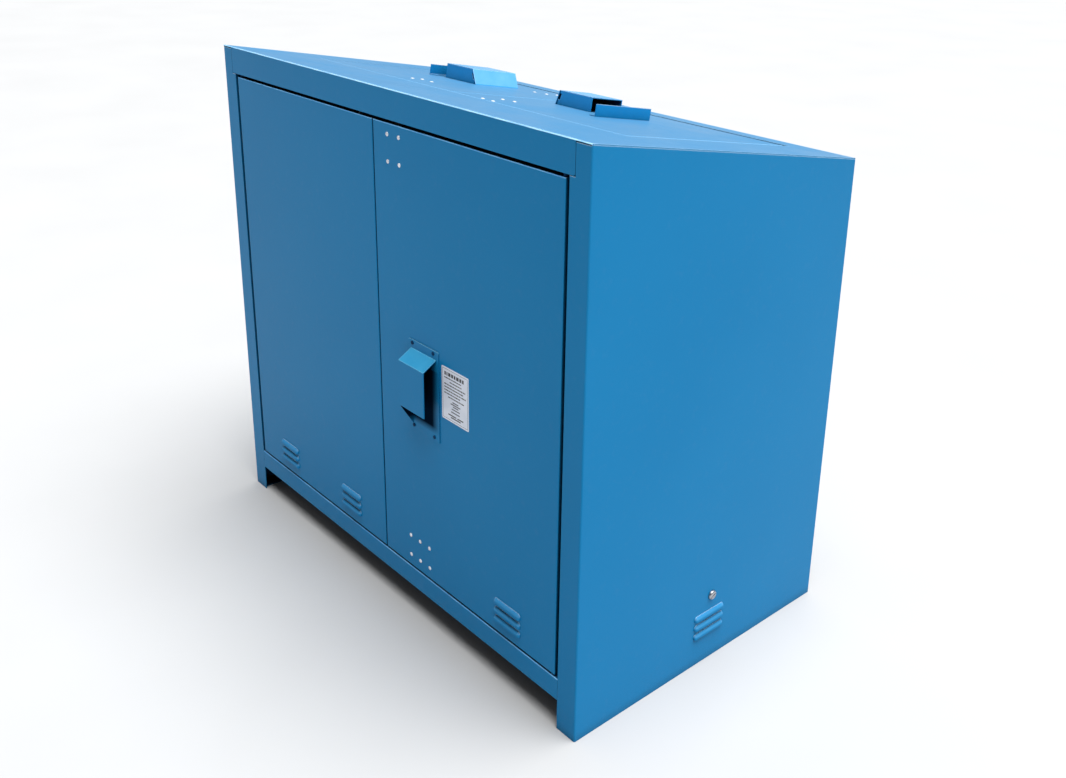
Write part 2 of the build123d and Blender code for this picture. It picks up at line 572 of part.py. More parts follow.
save(rod_guides.part, "rod_guides")


def rivet(seat, grip):
    """Rivet with a domed head on its seat and a shank of the given grip behind it."""
    with Locations(seat):
        Sphere(RIVET_DOME_R, arc_size1=RIVET_DOME_START, arc_size2=90,
               align=(Align.CENTER, Align.CENTER, Align.MIN))
        Cylinder(RIVET_R, grip, align=(Align.CENTER, Align.CENTER, Align.MAX))


with BuildPart() as door_rivets:
    for x, z in DOOR_RIVETS:
        rivet(Plane(origin=(x, FRONT_Y, z), x_dir=(1, 0, 0), z_dir=(0, -1, 0)), RIVET_GRIP)
save(door_rivets.part, "door_rivets")

LABEL_X = (219.0, 305.0)
LABEL_Z = (522.0, 635.0)
with BuildPart() as label:
    block(LABEL_X, (-0.6, 0), LABEL_Z)
save(label.part, "rating_label")

BOLT_LENGTH = 96.0
BOLT_KNOB = 62.0                  # from the tip, as are the case and its slot
BOLT_CASE = (34.0, 92.0)
BOLT_SLOT = (34.0, 66.0)
BOLT_TIPS = {"upper": (DOOR_TOP + 0.5, 1), "lower": (DOOR_BOTTOM - 0.5, -1)}
for name, (tip, up) in BOLT_TIPS.items():
    with BuildPart() as tower_bolt:
        upright_round(BOLT_X, BOLT_D, across((tip, tip - up * BOLT_LENGTH)), BOLT_R)
        front_round(BOLT_X, tip - up * BOLT_KNOB, (BOLT_D, BOLT_D + 16), 3)
    save(tower_bolt.part, f"left_{name}_bolt")

with BuildPart() as bolt_cases:
    for tip, up in BOLT_TIPS.values():
        case_z = across((tip - up * BOLT_CASE[0], tip - up * BOLT_CASE[1]))
        slot_z = across((tip - up * BOLT_SLOT[0], tip - up * BOLT_SLOT[1]))
        block((BOLT_X - 14, BOLT_X + 14), (SHEET, BOLT_D + 7), case_z)
        upright_round(BOLT_X, BOLT_D, (case_z[0] - 1, case_z[1] + 1), BOLT_R + 0.3, Mode.SUBTRACT)
        block((BOLT_X - 3.6, BOLT_X + 3.6), (BOLT_D, BOLT_D + 8), slot_z, Mode.SUBTRACT)
save(bolt_cases.part, "left_bolt_cases")


# ---- roof lids -----------------------------------------------------------------------
LID_RIVETS = {
    "left": (
        (-210.0, 244.0), (-207.0, 268.0), (-168.0, 266.0),
        (-155.0, 558.0), (-129.0, 573.0), (-128.0, 606.0),
    ),
    "right": ((93.0, 203.5), (126.0, 203.5), (79.0, 267.0), (104.0, 278.0)),
}
LID_BRACKETS = {                  # plates under the lids: limits on x and down the slope
    "left": (((-222, -156), (234, 281)), ((-167, -116), (546, 618))),
    "right": (((80, 139), (198.5, 207.6)), ((67, 116), (255, 290))),
}
BRACKET_LEG_N = -12.0
HINGE_X = (120.0, 400.0)
HINGE_HALF = 35.0
KNUCKLE_HALF = 16.0
VENT_HOLE_INSET = 22.0
VENT_MARGIN = 14.0
LID_BEND = 1.2
LID_SEAL_WIDTH = 12.0
SCREEN_INSET = 12.0
SCREEN_PITCH = 12.0
SCREEN_HOLE_R = 3.6
SCREEN_N = -3.2                   # underside of the perforated screens

for name, side in SIDES.items():
    slant_end, open_end, vent_s, vent_rise, vent_slant = VENTS[name]
    out = 1 if open_end > slant_end else -1
    with BuildPart() as lid:
        slab(span(side, *LID_X), LID_S, (-LID_SKIRT, 0))
        rim = lid.faces().sort_by(Axis(ROOF.origin, ROOF.z_dir))[-1].edges()
        fillet(rim, radius=LID_BEND)
        slab(span(side, LID_X[0] + SHEET, LID_X[1] - SHEET), (LID_S[0] + SHEET, LID_S[1] - SHEET),
             (-LID_SKIRT, -SHEET), Mode.SUBTRACT)
        vent_hole_x = across((slant_end + out * (vent_slant + VENT_MARGIN), open_end - out * 10))
        vent_hole_s = (vent_s[0] + VENT_HOLE_INSET, vent_s[1] - VENT_HOLE_INSET)
        slab(vent_hole_x, vent_hole_s, (-SHEET, 0), Mode.SUBTRACT)
        for x, s in LID_RIVETS[name]:
            roof_hole(x, s, (-SHEET, 0), RIVET_R + 0.05)
    save(lid.part, f"roof_lid_{name}")

    with BuildPart() as lid_seal:
        near = UPSTAND_IN - SHEET - 5
        ring_x = span(side, near, OPEN_X - near)
        ring_s = (OPEN_S[0] + near, OPEN_S[1] - 36 + SHEET + 5)
        slab(ring_x, ring_s, (UPSTAND_N, -SHEET))
        inside_x = (ring_x[0] + LID_SEAL_WIDTH, ring_x[1] - LID_SEAL_WIDTH)
        inside_s = (ring_s[0] + LID_SEAL_WIDTH, ring_s[1] - LID_SEAL_WIDTH)
        slab(inside_x, inside_s, (UPSTAND_N, -SHEET), Mode.SUBTRACT)
    save(lid_seal.part, f"lid_seal_{name}")

    with BuildPart() as vent:
        tip = slant_end + out * vent_slant
        roof_profile([(slant_end, 0), (tip, vent_rise), (open_end, vent_rise), (open_end, 0)], vent_s)
        ceiling = vent_rise - SHEET
        under_tip = slant_end + out * vent_slant * ceiling / vent_rise
        hollow = [(slant_end, 0), (under_tip, ceiling), (open_end, ceiling), (open_end, 0)]
        roof_profile(hollow, (vent_s[0] + SHEET, vent_s[1] - SHEET), Mode.SUBTRACT)
        plate = [(slant_end, 0), (tip, vent_rise), (tip + out * VENT_PLATE, vent_rise),
                 (slant_end + out * VENT_PLATE, 0)]
        roof_profile(plate, (vent_s[0] - VENT_PROUD, vent_s[1] + VENT_PROUD))
        low, high, width = VENT_SLIT
        foot_x = slant_end + out * (VENT_PLATE + vent_slant * low / vent_rise)
        head_x = slant_end + out * (VENT_PLATE + vent_slant * high / vent_rise)
        slit = [(foot_x, low), (head_x, high), (head_x + out * width, high), (foot_x + out * width, low)]
        roof_profile(slit, (vent_s[0], vent_s[0] + SHEET), Mode.SUBTRACT)
    save(vent.part, f"vent_hood_{name}")

    with BuildPart() as baffle:
        plate_x, baffle_s = BAFFLES[name]
        slab(across((plate_x, plate_x + out * SHEET)), baffle_s, (0, BAFFLE_RISE))
        slab(across((plate_x - out * BAFFLE_FOOT, plate_x)), baffle_s, (0, SHEET))
    save(baffle.part, f"vent_baffle_{name}")

    with BuildPart() as screen:
        screen_x = across((slant_end + out * (vent_slant + 4), open_end))
        screen_s = (vent_s[0] + SCREEN_INSET, vent_s[1] - SCREEN_INSET)
        slab(screen_x, screen_s, (SCREEN_N, -SHEET))
        count_x = int((screen_x[1] - screen_x[0]) / SCREEN_PITCH)
        count_s = int((screen_s[1] - screen_s[0]) / SCREEN_PITCH)
        with BuildSketch(ROOF.offset(SCREEN_N)):
            with Locations((sum(screen_x) / 2, sum(screen_s) / 2)):
                with GridLocations(SCREEN_PITCH, SCREEN_PITCH, count_x - 1, count_s - 1):
                    Circle(SCREEN_HOLE_R)
        extrude(amount=-SHEET - SCREEN_N, mode=Mode.SUBTRACT)
    save(screen.part, f"vent_screen_{name}")

    with BuildPart() as lid_brackets:
        for bracket_x, bracket_s in LID_BRACKETS[name]:
            slab(bracket_x, bracket_s, (-2 * SHEET, -SHEET))
            slab((bracket_x[0], bracket_x[0] + SHEET), bracket_s, (BRACKET_LEG_N, -2 * SHEET))
        for x, s in LID_RIVETS[name]:
            roof_hole(x, s, (-2 * SHEET, -SHEET), RIVET_R + 0.05)
    save(lid_brackets.part, f"lid_brackets_{name}")

    with BuildPart() as lid_rivets:
        for x, s in LID_RIVETS[name]:
            rivet(Plane(origin=roof_point(x, s), x_dir=ROOF.x_dir, z_dir=ROOF.z_dir), RIVET_GRIP)
    save(lid_rivets.part, f"lid_rivets_{name}")

    with BuildPart() as moving_leaves:
        for x in HINGE_X:
            knuckle = (side * x - KNUCKLE_HALF, side * x + KNUCKLE_HALF)
            slab(knuckle, (LID_S[1], HINGE_S), (HINGE_N - HINGE_R, HINGE_N - HINGE_R + SHEET))
            along_x(knuckle, HINGE_S, HINGE_N, HINGE_R)
            along_x(knuckle, HINGE_S, HINGE_N, HINGE_PIN_R + RUNNING, Mode.SUBTRACT)
    save(moving_leaves.part, f"lid_hinge_leaves_{name}")

with BuildPart() as fixed_leaves:
    for side in SIDES.values():
        for x in HINGE_X:
            for end in (-1, 1):
                knuckle = across((side * x + end * (KNUCKLE_HALF + 0.5), side * x + end * HINGE_HALF))
                slab(knuckle, (HINGE_S, OPEN_S[1]), (HINGE_N - HINGE_R, HINGE_N - HINGE_R + SHEET))
                along_x(knuckle, HINGE_S, HINGE_N, HINGE_R)
                along_x(knuckle, HINGE_S, HINGE_N, HINGE_PIN_R + 0.02, Mode.SUBTRACT)
save(fixed_leaves.part, "roof_hinge_leaves")

with BuildPart() as lid_pins:
    for side in SIDES.values():
        for x in HINGE_X:
            along_x((side * x - HINGE_HALF, side * x + HINGE_HALF), HINGE_S, HINGE_N, HINGE_PIN_R)
save(lid_pins.part, "roof_hinge_pins")


# ---- racks, batteries and connections -------------------------------------------------
RUNNER_HALF = 15.0
RUNNER_X = (-560.0, 560.0)
with BuildPart() as runners:
    for d in BATTERY_D:
        for middle in (d - 75, d + 75):
            runner_d = (middle - RUNNER_HALF, middle + RUNNER_HALF)
            block(RUNNER_X, runner_d, (FLOOR_Z[1], TIERS["lower"]))
save(runners.part, "floor_runners")

SHELF_D = (100.0, 640.0)
SHELF_HALF = 590.0
POST = 28.0
POST_WALL = 3.0
SHELF_Z = (TIERS["upper"] - SHEET, TIERS["upper"])
with BuildPart() as shelf:
    block((-SHELF_HALF, SHELF_HALF), SHELF_D, SHELF_Z)
    for d in (SHELF_D[0], SHELF_D[1] - SHEET):
        block((-SHELF_HALF, SHELF_HALF), (d, d + SHEET), (SHELF_Z[0] - 34, SHELF_Z[0]))
    with BuildSketch(Plane.XY.offset(SHELF_Z[0])):
        with Locations((0, FRONT_Y + sum(SHELF_D) / 2)):
            with GridLocations(110, 130, 10, 4):
                SlotOverall(70, 20)
    extrude(amount=SHEET, mode=Mode.SUBTRACT)
save(shelf.part, "battery_shelf")

with BuildPart() as posts:
    for side in SIDES.values():
        for d, step in ((SHELF_D[0], 1), (SHELF_D[1], -1)):
            leg_d = across((d, d + step * POST))
            web_d = across((d, d + step * POST_WALL))
            block(span(side, SHELF_HALF, SHELF_HALF + POST_WALL), leg_d, (FLOOR_Z[1], SHELF_Z[1]))
            block(span(side, SHELF_HALF, SHELF_HALF + POST), web_d, (FLOOR_Z[1], SHELF_Z[1]))
save(posts.part, "shelf_posts")

TERMINAL_R = 9.0
TERMINAL_X = 215.0
TERMINAL_FORWARD = 80.0           # from each battery's middle towards the front
TERMINAL_RISE = 12.0
CAP_HEIGHT = 8.0
for tier, base in TIERS.items():
    for name, side in SIDES.items():
        with BuildPart() as batteries:
            for centre_d in BATTERY_D:
                box_x = (side * BATTERY_X - BATTERY[0] / 2, side * BATTERY_X + BATTERY[0] / 2)
                box_d = (centre_d - BATTERY[1] / 2, centre_d + BATTERY[1] / 2)
                block(box_x, box_d, (base, base + BATTERY[2] - CAP_HEIGHT))
            fillet(batteries.edges().filter_by(Axis.Z), radius=6.0)
            for centre_d in BATTERY_D:
                cap_d = (centre_d - BATTERY[1] / 2 + 3, centre_d + BATTERY[1] / 2 - 3)
                cap_z = (base + BATTERY[2] - CAP_HEIGHT, base + BATTERY[2])
                block((box_x[0] + 3, box_x[1] - 3), cap_d, cap_z)
        save(batteries.part, f"batteries_{tier}_{name}")

with BuildPart() as terminals:
    for base in TIERS.values():
        post_z = (base + BATTERY[2], base + BATTERY[2] + TERMINAL_RISE)
        for d in BATTERY_D:
            for side in SIDES.values():
                for end in (-1, 1):
                    x = side * BATTERY_X + end * TERMINAL_X
                    upright_round(x, d - TERMINAL_FORWARD, post_z, TERMINAL_R)
save(terminals.part, "battery_terminals")

LINK_THICK = 3.0
LINK_HALF = 12.0
with BuildPart() as links:
    link_rows = [d - TERMINAL_FORWARD for d in BATTERY_D]
    inner = BATTERY_X - TERMINAL_X + 10
    outer = BATTERY_X + TERMINAL_X
    for base in TIERS.values():
        low = base + BATTERY[2] + TERMINAL_RISE
        link_z = (low, low + LINK_THICK)
        for d in link_rows:
            block((-inner, inner), (d - LINK_HALF, d + LINK_HALF), link_z)
        long_d = (link_rows[0] - LINK_HALF, link_rows[1] + LINK_HALF)
        block((outer - LINK_HALF, outer + LINK_HALF), long_d, link_z)
save(links.part, "battery_links")


# ---- earth bolt and cable glands --------------------------------------------------------
EARTH_PLANE = Plane(origin=(HALF, FRONT_Y + EARTH_D, EARTH_Z), x_dir=(0, 1, 0), z_dir=(1, 0, 0))
EARTH_WASHER = 1.0
EARTH_HEAD = 4.5
EARTH_HEAD_R = 10.0
EARTH_DOME = 3.4
EARTH_SLOT = (24.0, 2.4)
with BuildPart() as earth_bolt:
    with BuildSketch(EARTH_PLANE.offset(EARTH_WASHER)):
        Circle(EARTH_HEAD_R)
    extrude(amount=EARTH_HEAD)
    fillet(earth_bolt.faces().sort_by(Axis.X)[-1].edges(), radius=EARTH_DOME)
    with BuildSketch(EARTH_PLANE.offset(EARTH_WASHER)):
        Circle(EARTH_R)
    extrude(amount=-28)
    with BuildSketch(EARTH_PLANE.offset(EARTH_WASHER + EARTH_HEAD - 2)):
        Rectangle(*EARTH_SLOT, rotation=25)
    extrude(amount=3, mode=Mode.SUBTRACT)
save(earth_bolt.part, "earth_bolt")

with BuildPart() as earth_fixings:
    with BuildSketch(EARTH_PLANE):
        Circle(EARTH_HEAD_R - 0.6)
        Circle(EARTH_R + 0.3, mode=Mode.SUBTRACT)
    extrude(amount=EARTH_WASHER)
    with BuildSketch(EARTH_PLANE.offset(-SHEET)):
        RegularPolygon(radius=6.5, side_count=6, major_radius=False)
        Circle(EARTH_R + 0.05, mode=Mode.SUBTRACT)
    extrude(amount=-6.5)
save(earth_fixings.part, "earth_washer_and_nut")

GLAND_HEX = 16.0
with BuildPart() as glands:
    for x in GLAND_X:
        upright_round(x, GLAND_D, (FLOOR_Z[0] - 22, FLOOR_Z[1] + 9), GLAND_BODY)
        with BuildSketch(Plane.XY.offset(FLOOR_Z[0] - 20)):
            with Locations((x, FRONT_Y + GLAND_D)):
                RegularPolygon(radius=GLAND_HEX, side_count=6, major_radius=False)
        extrude(amount=20)
        upright_round(x, GLAND_D, (FLOOR_Z[0] - 30, FLOOR_Z[1] + 12), GLAND_BORE, Mode.SUBTRACT)
save(glands.part, "cable_glands")

with BuildPart() as gland_nuts:
    for x in GLAND_X:
        with BuildSketch(Plane.XY.offset(FLOOR_Z[1])):
            with Locations((x, FRONT_Y + GLAND_D)):
                RegularPolygon(radius=GLAND_HEX, side_count=6, major_radius=False)
                Circle(GLAND_BODY + 0.05, mode=Mode.SUBTRACT)
        extrude(amount=5)
save(gland_nuts.part, "gland_nuts")
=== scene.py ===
"""Looks of the outdoor battery cabinet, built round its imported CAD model.

Metres, in the CAD model's frame: +X to the cabinet's right, +Y to the rear, +Z up, with
the origin on the ground. Every CAD node keeps its shape and gets a procedural material.
Rivets, seals, batteries and the rating label are rebuilt in more detail and replace
their plain CAD nodes.
"""
import json
import math

import bmesh
import bpy
from mathutils import Matrix, Vector


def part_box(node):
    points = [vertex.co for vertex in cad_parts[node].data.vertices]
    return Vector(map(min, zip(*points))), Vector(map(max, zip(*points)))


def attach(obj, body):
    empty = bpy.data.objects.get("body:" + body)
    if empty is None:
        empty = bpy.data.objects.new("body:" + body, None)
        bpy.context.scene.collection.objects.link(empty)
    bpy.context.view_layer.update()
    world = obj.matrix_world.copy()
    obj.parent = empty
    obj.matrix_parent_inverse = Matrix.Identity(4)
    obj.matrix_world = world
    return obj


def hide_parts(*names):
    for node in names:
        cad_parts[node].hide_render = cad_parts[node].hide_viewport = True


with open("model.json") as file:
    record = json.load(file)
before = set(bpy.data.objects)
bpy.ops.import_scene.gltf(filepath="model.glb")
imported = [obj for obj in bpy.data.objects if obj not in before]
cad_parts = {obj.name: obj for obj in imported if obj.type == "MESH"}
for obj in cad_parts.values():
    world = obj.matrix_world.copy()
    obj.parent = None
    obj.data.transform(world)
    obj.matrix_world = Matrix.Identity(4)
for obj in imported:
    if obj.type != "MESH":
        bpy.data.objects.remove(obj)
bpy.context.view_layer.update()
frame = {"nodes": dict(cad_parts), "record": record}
MM = 0.001

# ---- camera --------------------------------------------------------------------------
IMAGE_WIDTH = 1066
SENSOR_WIDTH = 36.0
LENS = 37.765
CAMERA_PLACE = Vector((1.8471, -1.51235, 1.5415))
CAMERA_TURN = math.radians(47.515)      # to the left of straight ahead, seen from the front
CAMERA_TILT = math.radians(-19.231)
CAMERA_ROLL = math.radians(1.380)
CAMERA_SHIFT = (-0.0321, -0.1171)


def make_camera():
    """Camera where the reference view was taken from."""
    data = bpy.data.cameras.new("camera")
    data.sensor_width = SENSOR_WIDTH
    data.lens = LENS
    data.shift_x, data.shift_y = CAMERA_SHIFT
    data.clip_start, data.clip_end = 0.05, 100.0
    camera = bpy.data.objects.new("camera", data)
    bpy.context.scene.collection.objects.link(camera)
    turn = Matrix.Rotation(CAMERA_TURN, 4, "Z")
    tilt = Matrix.Rotation(math.pi / 2 + CAMERA_TILT, 4, "X")
    roll = Matrix.Rotation(CAMERA_ROLL, 4, "Z")
    camera.matrix_world = Matrix.Translation(CAMERA_PLACE) @ turn @ tilt @ roll
    bpy.context.scene.camera = camera


# ---- shader helpers ------------------------------------------------------------------
def srgb(red, green, blue):
    """Linear colour from sRGB values between 0 and 255."""
    linear = []
    for value in (red, green, blue):
        share = value / 255
        linear.append(share / 12.92 if share <= 0.04045 else ((share + 0.055) / 1.055) ** 2.4)
    return (*linear, 1.0)


class Shader:
    """A material's node tree, with short calls that add linked nodes."""

    def __init__(self, name):
        self.material = bpy.data.materials.new(name)
        self.material.use_nodes = True
        self.tree = self.material.node_tree
        self.surface = self.tree.nodes["Principled BSDF"]
        self.place = self.add("ShaderNodeTexCoord").outputs["Object"]

    def add(self, kind, inputs=(), **settings):
        node = self.tree.nodes.new(kind)
        for key, value in settings.items():
            setattr(node, key, value)
        for socket, value in dict(inputs).items():
            self.feed(node, socket, value)
        return node

    def feed(self, node, socket, value):
        """Link a socket, or set its value."""
        if isinstance(value, bpy.types.NodeSocket):
            self.tree.links.new(value, node.inputs[socket])
        else:
            node.inputs[socket].default_value = value

    def noise(self, scale, detail=2.0, roughness=0.5, stretch=None):
        """Noise between 0 and 1, at a scale in features per metre."""
        place = self.place
        if stretch:
            place = self.add("ShaderNodeMapping", {"Vector": place, "Scale": stretch}).outputs[0]
        inputs = {"Vector": place, "Scale": scale, "Detail": detail, "Roughness": roughness}
        return self.add("ShaderNodeTexNoise", inputs).outputs["Fac"]

    def ramp(self, value, low, high, start=0.0, end=1.0):
        """Value taken from low..high to start..end, and held at the ends."""
        inputs = {0: value, 1: low, 2: high, 3: start, 4: end}
        return self.add("ShaderNodeMapRange", inputs, clamp=True).outputs[0]

    def mix(self, share, first, second):
        """Colour between two others."""
        node = self.add("ShaderNodeMix", data_type="RGBA")
        self.feed(node, 0, share)
        self.feed(node, 6, first)
        self.feed(node, 7, second)
        return node.outputs[2]

    def maths(self, operation, first, second):
        return self.add("ShaderNodeMath", {0: first, 1: second}, operation=operation).outputs[0]

    def rounded(self, radius):
        """Normal of the surface with its edges rounded off."""
        return self.add("ShaderNodeBevel", {"Radius": radius}, samples=6).outputs[0]

    def edges(self, rounded, low=0.02, high=0.25):
        """1 along convex and concave edges and 0 on flat faces."""
        true = self.add("ShaderNodeNewGeometry").outputs["True Normal"]
        inputs = {0: rounded, 1: true}
        dot = self.add("ShaderNodeVectorMath", inputs, operation="DOT_PRODUCT").outputs["Value"]
        return self.ramp(dot, 1 - high, 1 - low, 1.0, 0.0)

    def rise(self, normal):
        """How far a normal points up: 1 straight up, 0 level, -1 straight down."""
        return self.add("ShaderNodeSeparateXYZ", {0: normal}).outputs["Z"]

    def open_air(self, distance, low, high):
        """0 deep inside gaps and hoods, 1 on open faces."""
        node = self.add("ShaderNodeAmbientOcclusion", {"Distance": distance}, samples=6)
        return self.ramp(node.outputs["AO"], low, high)

    def within(self, *spans):
        """1 inside a box of the CAD frame, from spans of 0 outside, 1 from, 1 to and 0 outside."""
        split = self.add("ShaderNodeSeparateXYZ", {0: self.place})
        share = 1.0
        for place, (start, full, still_full, end) in zip(split.outputs, spans):
            rising = self.ramp(place, start, full)
            falling = self.ramp(place, still_full, end, 1.0, 0.0)
            share = self.maths("MULTIPLY", share, self.maths("MULTIPLY", rising, falling))
        return share

    def bump(self, height, strength, distance, under=None):
        inputs = {"Height": height, "Strength": strength, "Distance": distance}
        if under:
            inputs["Normal"] = under
        return self.add("ShaderNodeBump", inputs).outputs[0]

    def finish(self, **inputs):
        """Set the surface's own sockets; spaces are written as underscores."""
        for socket, value in inputs.items():
            self.feed(self.surface, socket.replace("_", " "), value)
        return self.material


# ---- materials -----------------------------------------------------------------------
PAINT = (0.009, 0.216, 0.480, 1.0)
PAINT_DEEP = (0.007, 0.203, 0.458, 1.0)
# Painted highlight colours: one for faces slanting upward, one for the crests of folds and edges.
SLANT_HIGHLIGHT = srgb(150, 205, 242)
EDGE_HIGHLIGHT = srgb(196, 230, 252)
# Painted shade colour for crannies, gaps, the cabinet's inside and the lock hood's inside.
PAINTED_SHADE = (0.001, 0.008, 0.022, 1.0)
PAINT_SHINE = 0.07
GAP = (0.045, 0.2, 0.66)                # reach of narrow shade, and its darkest and lightest openness
CAVITY = (0.3, 0.14, 0.36)              # the same for the inside of the cabinet
DUST = srgb(150, 165, 175)
FILM = srgb(178, 182, 178)


def paint(name, base=(PAINT, PAINT_DEEP), soften=2.8 * MM, rim=0.75, slant=SLANT_HIGHLIGHT, rough=0.235,
          slant_highlight_range=(0.38, 0.55), crest=None, shadow_box=None):
    """Powder coat: orange peel, faint waviness, dust, painted highlights on rims and slants, and
    painted shade in crannies.

    Slanted faces take the painted slant highlight by a least and a greatest share. The crest is the Y
    in front of which the rims' painted highlight is at its palest, and the shadow box is a box of
    painted shadow that stays dark, as spans for Shader.within.
    """
    s = Shader(name)
    mottled = s.mix(s.ramp(s.noise(1.6, 3), 0.35, 0.65), *base)
    dusty = s.mix(s.ramp(s.noise(60, 4, 0.6), 0.55, 0.85, 0.0, 0.03), mottled, DUST)
    rounded = s.rounded(soften)
    rise = s.rise(rounded)
    slanted = s.maths("MULTIPLY", s.ramp(rise, 0.12, 0.42), s.ramp(rise, 0.74, 0.93, 1.0, 0.0))
    # Painted highlight: faces slanting upward go paler, in patches.
    slant_highlight_mask = s.maths("MULTIPLY", slanted, s.ramp(s.noise(35, 3), 0.3, 0.7, *slant_highlight_range))
    with_slant_highlight = s.mix(slant_highlight_mask, dusty, slant)
    # Painted highlight along fold crests and edges that face upward.
    folded = s.maths("MULTIPLY", s.ramp(rise, 0.2, 0.5), s.ramp(rise, 0.88, 0.975, 1.0, 0.0))
    pale_edges = s.maths("MULTIPLY", folded, s.edges(rounded, 0.01, 0.08))
    if crest is not None:
        place = s.add("ShaderNodeSeparateXYZ", {0: s.place}).outputs["Y"]
        rim = s.ramp(place, crest, crest + 10 * MM, 1.0, rim)
    with_edge_highlight = s.mix(s.maths("MULTIPLY", pale_edges, rim), with_slant_highlight, EDGE_HIGHLIGHT)
    patches = s.ramp(s.noise(3.1, 5, 0.62), 0.32, 0.68, 0.07, 0.16)
    filmed = s.mix(s.maths("MULTIPLY", s.ramp(rise, 0.95, 0.98), patches), with_edge_highlight, FILM)
    # Painted shade: ambient occlusion darkens gaps, hoods and the cabinet's inside towards near-black.
    crannies = s.maths("MULTIPLY", s.open_air(*GAP), s.open_air(*CAVITY))
    colour = s.mix(crannies, PAINTED_SHADE, filmed)
    shine = PAINT_SHINE
    # Painted shadow inside and under the lock hood: dark and without reflection.
    if shadow_box:
        share = s.within(*shadow_box)
        colour = s.mix(share, colour, PAINTED_SHADE)
        shine = s.ramp(share, 0.0, 1.0, shine, 0.0)
    wave = s.bump(s.noise(2.6, 1), 0.2, 0.0009)
    peel = s.bump(s.noise(420, 2), 0.04, 0.0005, under=wave)
    roughness = s.ramp(s.noise(9, 4), 0.3, 0.7, rough * 0.85, rough * 1.15)
    return s.finish(Base_Color=colour, Roughness=roughness, Normal=peel, Specular_IOR_Level=shine)


def fold_highlight(name, dim_highlight, bright_highlight):
    """Painted highlight along the crest of a long fold, with painted shade where it runs into gaps."""
    s = Shader(name)
    colour = s.mix(s.ramp(s.noise(28, 4), 0.3, 0.7), dim_highlight, bright_highlight)
    # Painted shade where the crest runs into a gap.
    shaded = s.mix(s.open_air(0.02, 0.1, 0.45), PAINTED_SHADE, colour)
    return s.finish(Base_Color=shaded, Roughness=s.ramp(s.noise(60, 3), 0.3, 0.7, 0.22, 0.34),
                    Normal=s.bump(s.noise(420, 2), 0.05, 0.0005), Specular_IOR_Level=0.2)


def metal(name, light, dark, rough, brushed=None, metallic=1.0):
    """Bare or plated metal with streaks, stains and bright edges."""
    s = Shader(name)
    streak = s.noise(220, 3, 0.6, stretch=brushed)
    stain = s.noise(18, 4)
    colour = s.mix(s.ramp(stain, 0.35, 0.7), light, dark)
    pale_edges = s.mix(s.ramp(s.edges(s.rounded(0.0006)), 0.0, 1.0, 0.0, 0.5), colour, srgb(235, 236, 238))
    roughness = s.ramp(streak, 0.3, 0.7, rough * 0.75, rough * 1.3)
    return s.finish(Base_Color=pale_edges, Roughness=roughness, Metallic=metallic,
                    Normal=s.bump(streak, 0.15, 0.1 * MM))


def plastic(name, base, tint, rough, grain_scale, grain, edge=srgb(120, 122, 126), shine=0.5):
    """Moulded plastic or rubber with a fine grain and paler edges."""
    s = Shader(name)
    cloud = s.noise(14, 4)
    colour = s.mix(s.ramp(cloud, 0.3, 0.7), base, tint)
    pale_edges = s.mix(s.ramp(s.edges(s.rounded(0.0008)), 0.0, 1.0, 0.0, 0.35), colour, edge)
    texture = s.noise(grain_scale, 3)
    roughness = s.ramp(texture, 0.3, 0.7, rough * 0.85, rough * 1.15)
    return s.finish(Base_Color=pale_edges, Roughness=roughness, Normal=s.bump(texture, 0.25, grain),
                    Specular_IOR_Level=shine)


def foil():
    """Silvery label foil with a faint crumple."""
    s = Shader("label_foil")
    cloud = s.noise(30, 3)
    colour = s.mix(s.ramp(cloud, 0.3, 0.7), srgb(236, 241, 252), srgb(222, 229, 243))
    crumple = s.bump(s.noise(70, 2), 0.12, 0.0004)
    return s.finish(Base_Color=colour, Roughness=s.ramp(s.noise(120, 2), 0.3, 0.7, 0.28, 0.4),
                    Normal=crumple)


def ink(name, light, dark):
    """Printed ink, slightly uneven."""
    s = Shader(name)
    colour = s.mix(s.ramp(s.noise(900, 2), 0.35, 0.65), light, dark)
    return s.finish(Base_Color=colour, Roughness=s.ramp(s.noise(300, 2), 0.3, 0.7, 0.35, 0.5))


LOOKS = {
    "blue_paint": paint("blue_powder_coat", slant_highlight_range=(0.08, 0.14)),
    "zinc_steel": metal("zinc_plate", srgb(188, 190, 194), srgb(150, 153, 160), 0.34, (1, 1, 0.2)),
    "galvanised": metal("galvanised_sheet", srgb(170, 174, 178), srgb(128, 134, 140), 0.48),
    "bright_rivet": metal("bright_aluminium", srgb(244, 248, 250), srgb(222, 228, 234), 0.3,
                          metallic=0.4),
    "black_oxide": plastic("blackened_steel", srgb(12, 52, 88), srgb(18, 62, 100), 0.65, 900, 0.0001,
                           edge=srgb(38, 88, 130), shine=0.05),
    "seal_rubber": plastic("seal_rubber", srgb(26, 27, 28), srgb(36, 37, 39), 0.85, 700, 0.0004),
    "battery_case": plastic("battery_case", srgb(40, 42, 46), srgb(30, 32, 36), 0.5, 500, 0.0002),
    "lead_terminal": metal("dull_lead", srgb(120, 122, 126), srgb(90, 92, 98), 0.6),
    "copper_link": metal("copper_bar", srgb(214, 140, 92), srgb(160, 96, 62), 0.3, (0.2, 1, 1)),
    "label": foil(),
    "gland_plastic": plastic("gland_nylon", srgb(24, 24, 25), srgb(34, 34, 36), 0.45, 400, 0.0002),
    "lock_chrome": metal("lock_chrome", srgb(225, 227, 230), srgb(196, 199, 204), 0.14),
}
